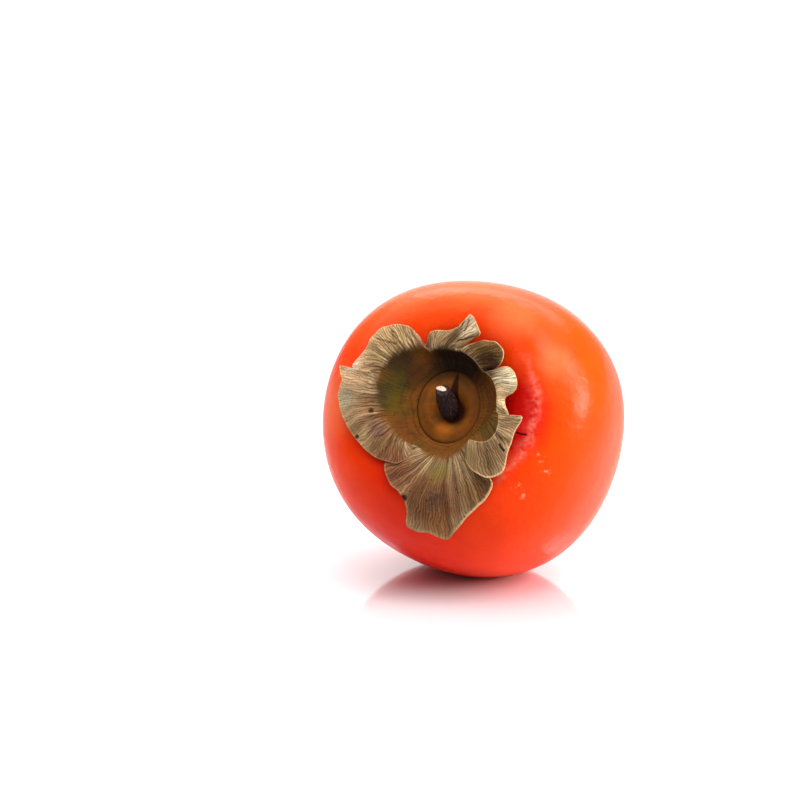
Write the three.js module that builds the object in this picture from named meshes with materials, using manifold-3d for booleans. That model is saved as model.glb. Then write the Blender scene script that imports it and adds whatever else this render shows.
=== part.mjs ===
// A ripe persimmon lying on its side: the fruit, its dried calyx of four sepals, the woody disc
// in the middle of the calyx, the broken stalk on that disc, and the dry flower point at the far end.
// Millimetres, +Z up. The origin is on the small flat that the fruit rests on, below its middle.

import * as THREE from 'three';
import { mergeVertices } from 'three/addons/utils/BufferGeometryUtils.js';
import Module from 'manifold-3d';

// How the fruit lies: its stem end leans forward from straight up, then the fruit is turned
const stemLean = THREE.MathUtils.degToRad(61.9);
const stemHeading = THREE.MathUtils.degToRad(-20.4);
const ownTurn = THREE.MathUtils.degToRad(10);
const middleHeight = 39.4;

// The fruit: half its width, and its height above and below the widest ring
const fruitReach = 40;
const stemSideHeight = 32;
const flowerSideHeight = 35;
const stemSideFullness = 2.6;
const flowerSideFullness = 2.4;
const fruitFacets = 15;

// Soft sides of the fruit: how many, how strong as a share of its width, and the turn of the first
const softSides = [
  { count: 2, strength: 0.0134, turn: -28 },
  { count: 3, strength: 0.017, turn: 31 },
  { count: 4, strength: 0.015, turn: 31 },
];

// The hollow at the stem end
const hollowDepth = 12.2;
const hollowReach = 21;
const hollowSteepness = 4;

// The calyx, a sheet of one thickness, which keeps clear of the skin under it
const sheetThickness = 0.75;
const skinClearance = 0.4;
const pushSoftness = 0.3;
const steepestUprightness = 0.5;
const pieceGap = 0.35;

// The oval opening in the calyx that the woody disc fills
const discMiddle = new THREE.Vector2(0.6, -0.4);
const openingHalf = new THREE.Vector2(8.7, 9.9);
const bowlFloorHeight = 23.1;

// Where the bowl's wall has its bend, as shares of the way from the floor to the fold
const wallOut = 0.62;
const wallUp = 0.22;

// The calyx is drawn by stations round the stem. A station gives the turn where it leaves the bowl,
// the reach and height of the fold between bowl and sepal, then the turn and reach of the sepal's
// edge, the edge's lift above the skin, and how far the sepal arches up between fold and edge.
const leftSepal = [
  [105, 13.0, 26.4, 106, 16.2, 2.2, 0.2],
  [110, 15.4, 27.8, 110.5, 20.3, 2.3, 0.4],
  [118, 16.8, 28.3, 117, 23.6, 2.0, 0.6],
  [126, 18.0, 28.4, 124.5, 26.2, 1.7, 0.8],
  [134, 18.8, 28.2, 135, 26.4, 1.6, 1.0],
  [141, 19.2, 28.0, 146, 26.1, 1.6, 1.0],
  [148, 19.3, 27.8, 154.5, 27.0, 1.9, 0.8],
  [155, 19.2, 27.6, 156.3, 24.5, 1.7, 0.6],
  [161, 19.1, 27.4, 158.5, 30.8, 2.0, 0.8],
  [166, 18.7, 27.2, 165, 28.7, 1.7, 1.0],
  [173, 18.1, 27.0, 173, 29.1, 1.5, 1.2],
  [182, 17.2, 26.8, 184, 27.2, 1.4, 1.2],
  [193, 16.0, 26.6, 199, 24.9, 1.5, 1.1],
  [205, 15.0, 26.5, 216, 22.5, 2.0, 1.0],
  [215, 14.4, 26.4, 231, 19.8, 2.5, 0.8],
  [225, 13.6, 26.1, 236.5, 16.2, 2.5, 0.4],
  [232, 12.2, 25.4, 234.5, 13.9, 2.1, 0.1],
];
const lowerSepal = [
  [238.2, 11.6, 25.0, 238.1, 13.4, 1.3, 0.0],
  [242.6, 13.0, 25.4, 238.3, 16.3, 1.3, 0.0],
  [246.1, 13.7, 25.6, 236.4, 18.7, 1.3, 0.0],
  [251, 13.9, 25.7, 232.4, 23.3, 1.3, 0.1],
  [255.5, 14.2, 25.7, 237, 24.6, 1.4, 0.5],
  [260, 14.4, 25.8, 247.5, 26.7, 1.4, 0.8],
  [264, 14.6, 25.9, 252, 30.0, 1.3, 0.9],
  [268, 14.7, 26.0, 253.5, 33.4, 1.4, 0.9],
  [272, 14.7, 26.0, 262, 33.9, 1.3, 1.0],
  [276, 14.6, 26.0, 270, 35.1, 1.4, 1.0],
  [280, 14.5, 25.9, 277, 32.9, 1.4, 1.0],
  [284, 14.2, 25.8, 286, 30.5, 1.3, 0.9],
  [288, 13.9, 25.7, 295.8, 28.4, 1.4, 0.6],
  [291, 13.5, 25.6, 296.6, 24.2, 1.3, 0.2],
  [295, 12.9, 25.4, 297, 19.3, 1.3, 0.0],
  [297.7, 11.8, 25.0, 297.8, 14.3, 1.3, 0.0],
];
const rightSepal = [
  [302.1, 11.8, 25.4, 299.6, 14.7, 2.6, 0.2],
  [305.5, 12.8, 26.7, 298, 18.9, 3.6, 0.7],
  [310, 13.4, 27.5, 299.5, 22.5, 4.0, 1.0],
  [315, 13.8, 27.9, 303.5, 25.8, 3.8, 1.0],
  [320, 14.2, 28.2, 311, 26.5, 3.6, 1.0],
  [325, 14.6, 28.5, 321, 24.1, 3.6, 0.9],
  [329, 14.9, 28.7, 333, 23.0, 4.0, 0.8],
  [332, 15.0, 28.8, 343, 23.3, 4.8, 0.6],
  [335.5, 15.1, 28.7, 342.4, 20.6, 4.2, 0.4],
  [339.5, 15.0, 28.5, 341.0, 17.0, 3.5, 0.2],
  [344, 15.2, 28.6, 344.5, 19.8, 3.5, 0.3],
  [350, 15.4, 28.7, 350, 18.6, 3.8, 0.3],
  [356, 15.3, 28.8, 356, 17.5, 4.1, 0.3],
  [362, 15.3, 28.9, 361.5, 20.1, 3.9, 0.6],
  [369, 15.2, 29.0, 368, 21.3, 3.8, 0.8],
  [377, 14.8, 29.0, 375.5, 21.0, 4.0, 0.8],
  [384, 14.2, 28.7, 382.5, 19.3, 4.0, 0.5],
  [388.5, 13.4, 28.2, 386.3, 16.6, 4.0, 0.2],
];
const upperSepal = [
  [391.5, 12.2, 26.8, 389.8, 14.5, 3.6, 0.1],
  [395, 12.9, 27.7, 391.2, 16.6, 4.2, 0.3],
  [400, 13.4, 28.4, 390.5, 19.3, 4.5, 0.6],
  [406, 13.6, 28.8, 393.5, 20.9, 4.6, 0.8],
  [412, 13.7, 29.0, 401, 21.0, 4.7, 0.9],
  [418, 13.8, 29.0, 409.5, 19.5, 4.7, 0.9],
  [424, 13.8, 28.8, 419.8, 17.2, 4.5, 0.5],
  [430.5, 12.4, 27.1, 427.6, 14.7, 3.6, 0.1],
  [435, 13.5, 28.0, 425.3, 16.9, 3.7, 0.3],
  [438.7, 13.8, 28.5, 420.5, 20.3, 3.8, 0.5],
  [441.5, 13.9, 28.6, 425, 22.7, 3.6, 0.6],
  [444.5, 14.0, 28.7, 430, 23.7, 3.4, 0.5],
  [448, 14.0, 28.6, 435, 21.0, 3.2, 0.5],
  [453, 14.1, 28.4, 442, 19.2, 3.2, 0.6],
  [457.5, 14.1, 28.0, 452.5, 19.1, 3.0, 0.5],
  [461.5, 13.8, 27.4, 460, 18.8, 3.0, 0.4],
];
const columnsPerStation = 2;
const rowsPerStretch = [2, 2, 3, 3];
const curveTension = 0.5;

// The woody disc, domed, with a pit beside its middle for the stalk
const discHalf = new THREE.Vector2(openingHalf.x - pieceGap, openingHalf.y - pieceGap);
const discRimHeight = 23.0;
const discCrownHeight = 23.9;
const pitMiddle = new THREE.Vector2(1.3, -1.6);
const pitReach = 4.4;
const pitDepth = 1.9;
const pitSteepness = 4;
const discTopRings = 9;
const discUnderRings = [0, 0.35, 0.7, 0.96];
const discSides = 40;

// The broken stalk, leaning across the pit
const stalkFoot = new THREE.Vector3(1.4, -1.8, 22.5);
const stalkTip = new THREE.Vector3(0.5, 2.2, 27.6);
const stalkFootRadius = 2.3;
const stalkTipRadius = 1.9;
const stalkBulge = 0.12;
const stalkBreak = 1.6;
const stalkSides = 14;
const stalkRings = 6;

// The dry flower point
const pointRadius = 1.1;
const pointLength = 2.4;
const pointSides = 10;

function radians(degrees) {
  return THREE.MathUtils.degToRad(degrees);
}

// Distance of the skin from the fruit's middle, in the direction given by the angle from the
// stem axis and the turn round it
function skinDistance(polar, turn) {
  const stemSide = polar < Math.PI / 2;
  const height = stemSide ? stemSideHeight : flowerSideHeight;
  const fullness = stemSide ? stemSideFullness : flowerSideFullness;
  const across = Math.sin(polar);
  const along = Math.abs(Math.cos(polar));
  const plain = ((across / fruitReach) ** fullness + (along / height) ** fullness) ** (-1 / fullness);
  let sides = 0;
  for (const side of softSides) {
    sides += side.strength * Math.cos(side.count * (turn - radians(side.turn)));
  }
  const distance = plain * (1 + sides * across ** 3);
  if (!stemSide) {
    return distance;
  }
  return distance - hollowDepth * Math.exp(-((distance * across / hollowReach) ** hollowSteepness));
}

// Height of the point at this turn and reach that stands a given lift off the skin
function heightOffSkin(turn, reach, lift) {
  const settlingSteps = 40;
  let height = stemSideHeight;
  for (let step = 0; step < settlingSteps; step += 1) {
    const distance = skinDistance(Math.atan2(reach, height), turn) + lift;
    height = (height + Math.sqrt(Math.max(distance ** 2 - reach ** 2, 1))) / 2;
  }
  return height;
}

// Height of the skin at this place beside the stem axis, and how much longer its slope is than its plan
function skinBelow(x, y) {
  const step = 0.02;
  const height = (px, py) => heightOffSkin(Math.atan2(py, px), Math.hypot(px, py), 0);
  const slopeX = (height(x + step, y) - height(x - step, y)) / (2 * step);
  const slopeY = (height(x, y + step) - height(x, y - step)) / (2 * step);
  return { height: height(x, y), stretch: Math.hypot(1, slopeX, slopeY) };
}

function aroundStem(turn, reach, height) {
  return new THREE.Vector3(reach * Math.cos(turn), reach * Math.sin(turn), height);
}

// The five points that a station's path goes through: the opening, the bowl's wall, the fold,
// the middle of the sepal and its edge
function stationPath([rootTurn, foldReach, foldHeight, edgeTurn, edgeReach, edgeLift, arch]) {
  const root = radians(rootTurn);
  const edge = radians(edgeTurn);
  const opening = new THREE.Vector3(
    discMiddle.x + openingHalf.x * Math.cos(root),
    discMiddle.y + openingHalf.y * Math.sin(root),
    bowlFloorHeight,
  );
  const fold = aroundStem(root, foldReach, foldHeight);
  const wall = new THREE.Vector3(
    THREE.MathUtils.lerp(opening.x, fold.x, wallOut),
    THREE.MathUtils.lerp(opening.y, fold.y, wallOut),
    THREE.MathUtils.lerp(opening.z, fold.z, wallUp),
  );
  const rim = aroundStem(edge, edgeReach, heightOffSkin(edge, edgeReach, edgeLift));
  const middle = fold.clone().lerp(rim, 0.5);
  middle.z += arch;
  return [opening, wall, fold, middle, rim];
}

// Closes an upper and a lower face, each a ring of columns of points, into one solid
function solidFromSheet(upper, lower) {
  const columns = upper.length;
  const rows = upper[0].length;
  const positions = [];
  const index = [];
  for (const side of [upper, lower]) {
    for (const column of side) {
      for (const point of column) {
        positions.push(point.x, point.y, point.z);
      }
    }
  }
  const above = (column, row) => (column % columns) * rows + row;
  const below = (column, row) => columns * rows + above(column, row);
  const addQuad = (a, b, c, d) => index.push(a, b, c, a, c, d);
  const last = rows - 1;
  for (let column = 0; column < columns; column += 1) {
    const next = column + 1;
    for (let row = 0; row < last; row += 1) {
      addQuad(above(column, row), above(column, row + 1), above(next, row + 1), above(next, row));
      addQuad(below(column, row), below(next, row), below(next, row + 1), below(column, row + 1));
    }
    addQuad(above(column, 0), above(next, 0), below(next, 0), below(column, 0));
    addQuad(above(column, last), below(column, last), below(next, last), above(next, last));
  }
  const geometry = new THREE.BufferGeometry();
  geometry.setAttribute('position', new THREE.Float32BufferAttribute(positions, 3));
  geometry.setIndex(index);
  return geometry;
}

function smoothCurve(points, closed) {
  return new THREE.CatmullRomCurve3(points, closed, 'catmullrom', curveTension);
}

// The sheet follows the stations, rises straight up where the skin would come too near, and has
// its lower face straight below its upper one
function calyxGeometry() {
  const stations = [...leftSepal, ...lowerSepal, ...rightSepal, ...upperSepal].map(stationPath);
  const rings = stations[0].map((point, place) => smoothCurve(stations.map((path) => path[place]), true));
  const shares = [0];
  rowsPerStretch.forEach((rows, stretch) => {
    for (let row = 1; row <= rows; row += 1) {
      shares.push((stretch + row / rows) / rowsPerStretch.length);
    }
  });
  const columns = stations.length * columnsPerStation;
  const upper = [];
  for (let column = 0; column < columns; column += 1) {
    const path = smoothCurve(rings.map((ring) => ring.getPoint(column / columns)), false);
    upper.push(shares.map((share) => {
      const point = path.getPoint(share);
      const skin = skinBelow(point.x, point.y);
      const lowest = skin.height + (skinClearance + sheetThickness) * skin.stretch;
      const spare = point.z - lowest;
      point.z = lowest + (spare + Math.hypot(spare, pushSoftness)) / 2;
      return point;
    }));
  }
  const lower = upper.map((points, column) => points.map((point, row) => {
    const next = upper[(column + 1) % columns][row];
    const previous = upper[(column + columns - 1) % columns][row];
    const further = points[Math.min(row + 1, points.length - 1)];
    const nearer = points[Math.max(row - 1, 0)];
    const normal = further.clone().sub(nearer).cross(next.clone().sub(previous)).normalize();
    const skin = skinBelow(point.x, point.y);
    const room = point.z - skin.height - skinClearance * skin.stretch;
    const drop = Math.min(sheetThickness / Math.max(normal.z, steepestUprightness), room);
    return new THREE.Vector3(point.x, point.y, point.z - drop);
  }));
  return solidFromSheet(upper, lower);
}

function fruitGeometry() {
  const geometry = new THREE.IcosahedronGeometry(1, fruitFacets);
  const position = geometry.getAttribute('position');
  const point = new THREE.Vector3();
  for (let i = 0; i < position.count; i += 1) {
    point.fromBufferAttribute(position, i).normalize();
    const polar = Math.acos(THREE.MathUtils.clamp(point.z, -1, 1));
    point.multiplyScalar(skinDistance(polar, Math.atan2(point.y, point.x)));
    position.setXYZ(i, point.x, point.y, point.z);
  }
  return geometry;
}

// Height of the disc's upper face, which is domed and has the pit sunk into it
function discTopHeight(share, x, y) {
  const dome = THREE.MathUtils.lerp(discCrownHeight, discRimHeight, share ** 2);
  const fromPit = Math.hypot(x - pitMiddle.x, y - pitMiddle.y);
  return dome - pitDepth * Math.exp(-((fromPit / pitReach) ** pitSteepness));
}

function discGeometry() {
  const shares = [...discUnderRings];
  for (let ring = discTopRings; ring >= 0; ring -= 1) {
    shares.push(ring / discTopRings);
  }
  const profile = shares.map((share, place) => new THREE.Vector2(share, place));
  const geometry = new THREE.LatheGeometry(profile, discSides);
  geometry.rotateX(Math.PI / 2);
  const position = geometry.getAttribute('position');
  for (let i = 0; i < position.count; i += 1) {
    const place = i % shares.length;
    const x = discMiddle.x + discHalf.x * position.getX(i);
    const y = discMiddle.y + discHalf.y * position.getY(i);
    const under = place < discUnderRings.length;
    const z = under
      ? heightOffSkin(Math.atan2(y, x), Math.hypot(x, y), skinClearance)
      : discTopHeight(shares[place], x, y);
    position.setXYZ(i, x, y, z);
  }
  return geometry;
}

// The stalk stands with a level foot, leans over, and ends in a slanting break
function stalkGeometry() {
  const geometry = new THREE.CylinderGeometry(stalkTipRadius, stalkFootRadius, 1, stalkSides, stalkRings);
  geometry.rotateX(Math.PI / 2);
  const position = geometry.getAttribute('position');
  for (let i = 0; i < position.count; i += 1) {
    const share = position.getZ(i) + 0.5;
    const centre = stalkFoot.clone().lerp(stalkTip, share);
    const swell = 1 + stalkBulge * Math.sin(Math.PI * share);
    const x = position.getX(i) * swell;
    const y = position.getY(i) * swell;
    const slant = stalkBreak * share ** 4 * (y / stalkTipRadius);
    position.setXYZ(i, centre.x + x, centre.y + y, centre.z - slant);
  }
  return geometry;
}

function pointGeometry() {
  const geometry = new THREE.ConeGeometry(pointRadius, pointLength, pointSides);
  geometry.rotateX(-Math.PI / 2);
  geometry.translate(0, 0, -(flowerSideHeight + pieceGap + pointLength / 2));
  return geometry;
}

// Turns a piece from its place round the stem axis to the way the fruit lies
const lying = new THREE.Matrix4().makeTranslation(0, 0, middleHeight)
  .multiply(new THREE.Matrix4().makeRotationZ(stemHeading))
  .multiply(new THREE.Matrix4().makeRotationX(stemLean))
  .multiply(new THREE.Matrix4().makeRotationZ(ownTurn));

const wasm = await Module();
wasm.setup();
const weldDistance = 0.0001;

function toManifold(geometry) {
  const plain = geometry.clone();
  plain.deleteAttribute('normal');
  plain.deleteAttribute('uv');
  const merged = mergeVertices(plain, weldDistance);
  return new wasm.Manifold(new wasm.Mesh({
    numProp: 3,
    vertProperties: new Float32Array(merged.getAttribute('position').array),
    triVerts: new Uint32Array(merged.getIndex().array),
  }));
}

function fromManifold(solid) {
  const mesh = solid.getMesh();
  const geometry = new THREE.BufferGeometry();
  geometry.setAttribute('position', new THREE.Float32BufferAttribute(mesh.vertProperties, 3));
  geometry.setIndex(new THREE.Uint32BufferAttribute(mesh.triVerts, 1));
  return geometry;
}

// The ripe fruit has settled on a small flat, so what would reach below the surface is cut away
function settled(geometry) {
  const groundSize = 4 * fruitReach;
  const ground = new THREE.BoxGeometry(groundSize, groundSize, groundSize);
  ground.translate(0, 0, -groundSize / 2);
  return fromManifold(toManifold(geometry).subtract(toManifold(ground)));
}

const persimmon = new THREE.Group();

function addPiece(name, geometry, color, roughness) {
  const material = new THREE.MeshStandardMaterial({ color, roughness, metalness: 0 });
  const piece = new THREE.Mesh(geometry, material);
  piece.name = name;
  persimmon.add(piece);
}

addPiece('fruit', settled(fruitGeometry().applyMatrix4(lying)), '#f4511c', 0.3);
addPiece('calyx', calyxGeometry().applyMatrix4(lying), '#927454', 0.85);
addPiece('receptacle', discGeometry().applyMatrix4(lying), '#7d450f', 0.6);
addPiece('stalk_stub', stalkGeometry().applyMatrix4(lying), '#2e1d1a', 0.8);
addPiece('style_tip', pointGeometry().applyMatrix4(lying), '#2b1c12', 0.9);

export default persimmon;
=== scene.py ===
# %% [markdown]
# # A ripe persimmon
#
# A persimmon lies on its side and shows its calyx, the dried four-lobed collar that it was picked
# with. This lesson builds the fruit, the calyx, the woody disc inside it, the broken stalk on the
# disc and the dry flower point at the far end, then gives each its finish, a floor and soft light.
#
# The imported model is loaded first, as a fixed frame. Its box is kept, so that the finished pieces
# can be measured against it at the end.

# %% Load the frame
import math

import bpy
import numpy as np
from mathutils import Matrix, Vector


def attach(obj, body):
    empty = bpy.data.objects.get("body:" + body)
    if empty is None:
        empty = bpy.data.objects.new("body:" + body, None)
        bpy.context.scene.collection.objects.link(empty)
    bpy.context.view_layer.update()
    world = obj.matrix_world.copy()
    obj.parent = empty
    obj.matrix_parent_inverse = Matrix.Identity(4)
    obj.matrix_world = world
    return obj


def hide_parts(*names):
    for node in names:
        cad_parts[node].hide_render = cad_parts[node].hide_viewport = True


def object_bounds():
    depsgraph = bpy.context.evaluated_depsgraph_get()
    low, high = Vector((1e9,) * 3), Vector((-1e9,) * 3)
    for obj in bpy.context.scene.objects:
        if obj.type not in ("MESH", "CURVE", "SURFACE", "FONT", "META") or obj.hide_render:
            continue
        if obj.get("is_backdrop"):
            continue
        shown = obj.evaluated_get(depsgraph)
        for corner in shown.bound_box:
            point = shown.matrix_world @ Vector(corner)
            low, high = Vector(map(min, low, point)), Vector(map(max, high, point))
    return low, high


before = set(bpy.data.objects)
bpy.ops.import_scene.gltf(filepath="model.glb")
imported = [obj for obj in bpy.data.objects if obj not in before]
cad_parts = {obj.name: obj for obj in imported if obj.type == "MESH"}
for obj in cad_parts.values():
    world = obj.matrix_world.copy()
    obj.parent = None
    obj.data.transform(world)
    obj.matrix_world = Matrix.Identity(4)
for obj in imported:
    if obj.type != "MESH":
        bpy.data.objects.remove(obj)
cad_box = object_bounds()
print("packed nodes:", sorted(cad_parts))

# %% [markdown]
# ## The way the fruit lies
#
# All pieces are drawn upright, round the fruit's own stem axis and in millimetres, because that is
# how a persimmon grows: everything on it is arranged round that axis. One matrix then lays a
# finished piece on its side and turns millimetres into Blender's metres.

# %% Upright to lying
MM = 0.001
MIDDLE_HEIGHT = 39.4
STEM_LEAN = math.radians(61.9)
STEM_HEADING = math.radians(-20.4)
OWN_TURN = math.radians(10)

turned = (
    Matrix.Rotation(STEM_HEADING, 4, "Z")
    @ Matrix.Rotation(STEM_LEAN, 4, "X")
    @ Matrix.Rotation(OWN_TURN, 4, "Z")
)
lying = Matrix.Scale(MM, 4) @ Matrix.Translation((0, 0, MIDDLE_HEIGHT)) @ turned
print("stem axis points to", [round(part, 2) for part in turned @ Vector((0, 0, 1))])

# %% [markdown]
# ## The camera
#
# The photograph looks slightly down at the fruit through a long lens. The camera aims a little to
# the left of the fruit and above it, which puts the fruit right of the middle and below it, as in
# the photograph.

# %% Set the camera
CAMERA_DISTANCE = 560 * MM
CAMERA_RISE = math.radians(15)
PIXELS = 800
PIXELS_PER_MM = 3.71
SENSOR = 36.0
NEAREST_SEEN = 0.01
AIM_LEFT = 19.87 * MM
AIM_UP = 7.12 * MM

fruit_middle = Vector((0, 0, MIDDLE_HEIGHT * MM))
to_camera = Vector((0, -math.cos(CAMERA_RISE), math.sin(CAMERA_RISE)))
camera_up = Vector((0, math.sin(CAMERA_RISE), math.cos(CAMERA_RISE)))
camera_at = fruit_middle + to_camera * CAMERA_DISTANCE
camera_aim = fruit_middle + camera_up * AIM_UP - Vector((AIM_LEFT, 0, 0))

bpy.ops.object.camera_add(location=camera_at)
camera = bpy.context.object
camera.rotation_euler = (camera_aim - camera_at).to_track_quat("-Z", "Y").to_euler()
camera.data.sensor_width = SENSOR
camera.data.lens = PIXELS_PER_MM * (CAMERA_DISTANCE / MM) / PIXELS * SENSOR
camera.data.clip_start = NEAREST_SEEN
bpy.context.scene.camera = camera
print("lens", round(camera.data.lens, 1), "mm")

# %% [markdown]
# ## Floor and light
#
# The fruit lies on a white glossy board in front of a white wall, under a wide soft light. Two big
# planes make the board and the wall. The wide light is a sun with a very large angle, because that
# lights the whole board evenly, right to the wall. Area lights stand where the highlights on the
# skin say they stood: a warm window of light low at the right, one above it, one overhead, a long
# one behind the fruit that brightens its upper edge, and a large soft one high at the left. The
# room itself is a dim grey world, which keeps the reds deep. The picture is shown with the Standard
# view, because the other views turn strong reds pink.
#
# Columns of the area lights: name, direction from the fruit, width and height in metres, power in
# watts, and colour.

# %% Add the floor and the wall
FLOOR_SIZE = 16.0
WALL_SIZE = 6.0

bpy.ops.object.select_all(action="DESELECT")
bpy.ops.mesh.primitive_plane_add(size=FLOOR_SIZE, location=(0, 0, 0))
floor = bpy.context.object
floor.name = "floor"
floor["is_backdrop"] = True

wall_middle = (0, FLOOR_SIZE / 2, WALL_SIZE / 2)
bpy.ops.mesh.primitive_plane_add(size=WALL_SIZE, location=wall_middle, rotation=(math.pi / 2, 0, 0))
backdrop = bpy.context.object
backdrop.name = "backdrop"
backdrop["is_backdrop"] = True
print("floor", FLOOR_SIZE, "m and wall", WALL_SIZE, "m across")

# %% Add the lights
LIGHT_DISTANCE = 0.7
WIDE_LIGHT_ANGLE = 70
WIDE_LIGHT_STRENGTH = 2.0
WIDE_LIGHT_FROM = (0.38, -0.16, 0.91)
ROOM_BRIGHTNESS = 0.26
WHITE = (1.0, 1.0, 1.0, 1.0)

AREA_LIGHTS = (
    ("window_light", (0.96, -0.13, 0.27), (0.17, 0.2), 4.3, (1.0, 0.9, 0.78)),
    ("upper_light", (0.8, -0.14, 0.57), (0.22, 0.2), 2.1, WHITE[:3]),
    ("top_light", (0.35, -0.25, 0.9), (0.3, 0.22), 1.8, WHITE[:3]),
    ("back_light", (0.12, 0.66, 0.74), (0.7, 0.22), 3.0, WHITE[:3]),
    ("sky_light", (-0.45, 0.3, 0.84), (0.9, 0.6), 4.0, WHITE[:3]),
)


def add_light(name, direction, size, power, colour):
    """An area light that looks at the fruit from this direction."""
    place = fruit_middle + Vector(direction).normalized() * LIGHT_DISTANCE
    bpy.ops.object.light_add(type="AREA", location=place)
    light = bpy.context.object
    light.name = name
    light.data.shape = "RECTANGLE"
    light.data.size = size[0]
    light.data.size_y = size[1]
    light.data.energy = power
    light.data.color = colour
    light.rotation_euler = (place - fruit_middle).to_track_quat("Z", "Y").to_euler()


for name, direction, size, power, colour in AREA_LIGHTS:
    add_light(name, direction, size, power, colour)

bpy.ops.object.light_add(type="SUN", location=(0, 0, 1))
wide_light = bpy.context.object
wide_light.name = "wide_light"
wide_light.data.angle = math.radians(WIDE_LIGHT_ANGLE)
wide_light.data.energy = WIDE_LIGHT_STRENGTH
wide_light.rotation_euler = Vector(WIDE_LIGHT_FROM).to_track_quat("Z", "Y").to_euler()

world = bpy.data.worlds.new("white_room")
world.use_nodes = True
background = world.node_tree.nodes["Background"]
background.inputs["Color"].default_value = WHITE
background.inputs["Strength"].default_value = ROOM_BRIGHTNESS
bpy.context.scene.world = world
bpy.context.scene.view_settings.view_transform = "Standard"
print(len(AREA_LIGHTS), "area lights and one wide light")

# %% [markdown]
# ## Smooth lines through a few points
#
# The outline of the calyx is given by stations. A Catmull-Rom line passes through every station and
# bends smoothly between them, so a few stations are enough. The same line is used round the calyx
# and from its middle to its edge.


# %% Catmull-Rom lines
def between(before, start, end, after, share):
    """The point at this share of the way from start to end, on a smooth line."""
    leaving = (end - before) / 2
    arriving = (after - start) / 2
    return (
        (2 * start - 2 * end + leaving + arriving) * share**3
        + (3 * end - 3 * start - 2 * leaving - arriving) * share**2
        + leaving * share
        + start
    )


def round_line(points, place):
    """Points of a closed line, at places counted in stations."""
    first = np.floor(place).astype(int)
    share = (place - first).reshape((-1,) + (1,) * (points.ndim - 1))
    around = [points[(first + step) % len(points)] for step in (-1, 0, 1, 2)]
    return between(*around, share)


# %% [markdown]
# ## The form of the fruit
#
# A persimmon is a little flatter than a ball, with a soft shoulder, faint sides and a hollow at the
# stem end where the calyx sits. One formula gives the distance from the middle of the fruit to its
# skin in any direction. The fruit and the calyx that lies on it both ask this formula. A soft side
# is a wave round the fruit: how many of them, how strong, and the turn of the first in degrees.
#
# The height of the skin beside the stem axis has no formula of its own. It is found in small steps:
# a first guess is corrected until it settles.

# %% The skin as a formula
FRUIT_REACH = 40.0
STEM_SIDE = {"height": 32.0, "fullness": 2.6}
FLOWER_SIDE = {"height": 35.0, "fullness": 2.4}
SOFT_SIDES = ((2, 0.0134, -28), (3, 0.017, 31), (4, 0.015, 31))
HOLLOW_DEPTH = 12.2
HOLLOW_REACH = 21.0
HOLLOW_STEEPNESS = 4
SETTLING_STEPS = 40


def skin_distance(polar, turn):
    """Distance from the middle to the skin, by the angle off the stem axis and the turn round it."""
    stem_side = polar < math.pi / 2
    height = np.where(stem_side, STEM_SIDE["height"], FLOWER_SIDE["height"])
    fullness = np.where(stem_side, STEM_SIDE["fullness"], FLOWER_SIDE["fullness"])
    across = np.sin(polar)
    along = np.abs(np.cos(polar))
    plain = ((across / FRUIT_REACH) ** fullness + (along / height) ** fullness) ** (-1 / fullness)
    sides = sum(
        strength * np.cos(count * (turn - math.radians(first)))
        for count, strength, first in SOFT_SIDES
    )
    distance = plain * (1 + sides * across**3)
    hollow = HOLLOW_DEPTH * np.exp(-((distance * across / HOLLOW_REACH) ** HOLLOW_STEEPNESS))
    return distance - np.where(stem_side, hollow, 0)


def skin_height(x, y, lift=0.0):
    """Height of the skin at a place beside the stem axis, or of what stands a lift above it."""
    turn = np.arctan2(y, x)
    reach = np.hypot(x, y)
    height = np.full_like(reach, STEM_SIDE["height"])
    for _ in range(SETTLING_STEPS):
        distance = skin_distance(np.arctan2(reach, height), turn) + lift
        height = (height + np.sqrt(np.maximum(distance**2 - reach**2, 1))) / 2
    return height


print("width of the fruit", 2 * round(float(skin_distance(math.pi / 2, 0.0)), 1), "mm")

# %% [markdown]
# ## Small helpers for meshes
#
# Blender hands over the places of all vertices at once as one list of numbers. Reading and writing
# it with numpy lets a formula move a hundred thousand vertices in a moment. Every finished piece
# goes through the same last steps: it is laid on its side and made to ride on the body.


# %% Read, write and finish meshes
def read_places(piece):
    """The places of all vertices, one row each."""
    places = np.empty(len(piece.data.vertices) * 3)
    piece.data.vertices.foreach_get("co", places)
    return places.reshape(-1, 3)


def write_places(piece, places):
    """Moves all vertices to these places."""
    piece.data.vertices.foreach_set("co", np.asarray(places, dtype=float).ravel())
    piece.data.update()


def edit_all(*steps):
    """Runs edit-mode steps on everything that is selected in the active piece."""
    bpy.ops.object.mode_set(mode="EDIT")
    bpy.ops.mesh.select_all(action="SELECT")
    for step in steps:
        step()
    bpy.ops.object.mode_set(mode="OBJECT")


def select_faces(piece, test):
    """Selects the faces whose middle and normal pass the test, and nothing else."""
    bpy.ops.object.mode_set(mode="EDIT")
    bpy.ops.mesh.select_mode(type="FACE")
    bpy.ops.mesh.select_all(action="DESELECT")
    bpy.ops.object.mode_set(mode="OBJECT")
    for face in piece.data.polygons:
        face.select = test(face.center, face.normal)
    bpy.ops.object.mode_set(mode="EDIT")


def outward_normals():
    bpy.ops.mesh.normals_make_consistent(inside=False)


def lay_down(piece):
    """Lays an upright piece, drawn in millimetres, on its side in metres."""
    piece.data.transform(lying)
    piece.data.update()


def hand_over(piece, node):
    """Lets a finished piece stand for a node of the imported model."""
    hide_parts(node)
    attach(piece, "root")
    print(piece.name, "has", len(piece.data.polygons), "faces")


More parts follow.
